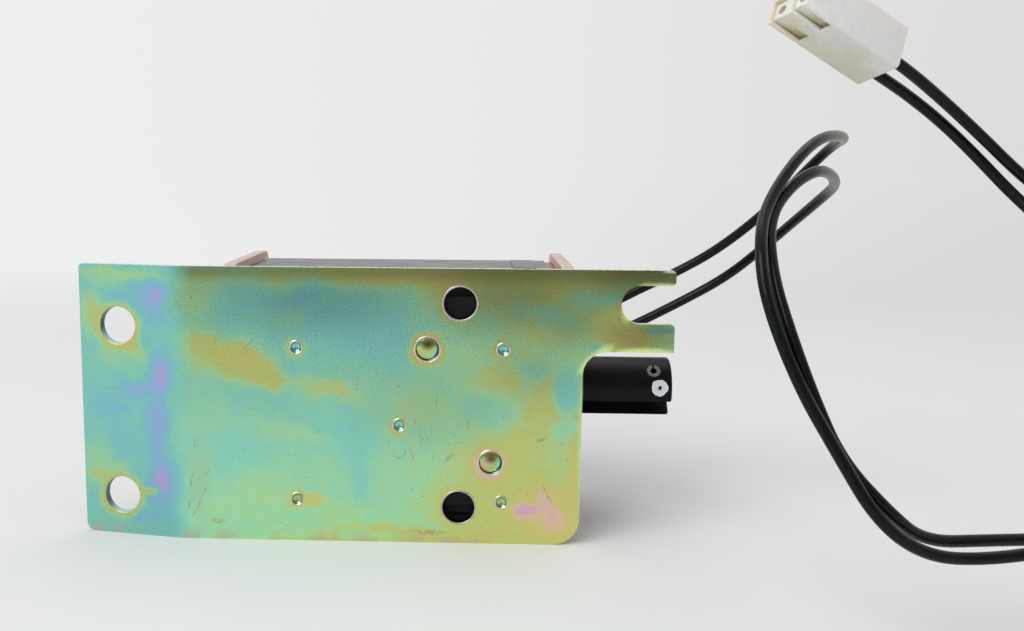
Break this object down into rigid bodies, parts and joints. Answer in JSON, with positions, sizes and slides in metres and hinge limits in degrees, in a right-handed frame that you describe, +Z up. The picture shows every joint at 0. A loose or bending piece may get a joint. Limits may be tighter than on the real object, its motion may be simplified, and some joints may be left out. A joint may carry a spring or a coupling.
{
  "type": "dispenser solenoid",
  "caption": "Pull solenoid on a bent, forked mounting plate, with a slotted round plunger, a taped coil and black leads to a white plug.",
  "frame": {"origin": "middle of the base on which the solenoid stands, measured without the leads and their connector", "axes": "+X along the plunger, the way it pulls out; +Y from the plate's front face back into the coil; +Z up, square to the plate's lower edge"},
  "size_m": [0.1751, 0.0827, 0.0978],
  "materials": {
    "plated_steel": "yellow zinc plating, iridescent, satin",
    "frame_steel": "dark, oiled",
    "nylon": "natural nylon",
    "fibre": "pinkish vulcanised fibre, matte",
    "copper_wire": "enamelled copper wire, satin",
    "black_tape": "black wrapped tape, satin",
    "paper": "insulating paper, matte",
    "brass": "plain brass, satin",
    "spring_steel": "bright, satin",
    "core_steel": "turned, satin",
    "copper": "plain copper",
    "black_steel": "black finish, satin",
    "black_rubber": "matte",
    "lead_cover": "black lead covering, semi-gloss",
    "white_nylon": "white nylon, satin"
  },
  "bodies": {
    "solenoid": {"mounting_plate": "plated_steel", "field_frame": "frame_steel", "coil_former": "nylon", "left_flange": "fibre", "right_flange": "fibre", "coil_winding": "copper_wire", "coil_tape": "black_tape", "tape_tab": "black_tape", "frame_insulator": "paper", "guide_tube": "brass", "tube_retainer": "spring_steel", "fixed_core": "core_steel", "shading_ring": "copper", "core_washer": "spring_steel", "lead_grommet": "black_rubber", "lead_a": "lead_cover", "lead_b": "lead_cover", "connector_housing": "white_nylon", "contact_a": "brass", "contact_b": "brass"},
    "armature": {"plunger": "black_steel", "spring_pin": "spring_steel"}
  },
  "joints": [
    {"name": "plunger_slide", "type": "slide", "parent": "solenoid", "child": "armature", "axis": [1, 0, 0], "range_m": [0, 0.016]}
  ]
}
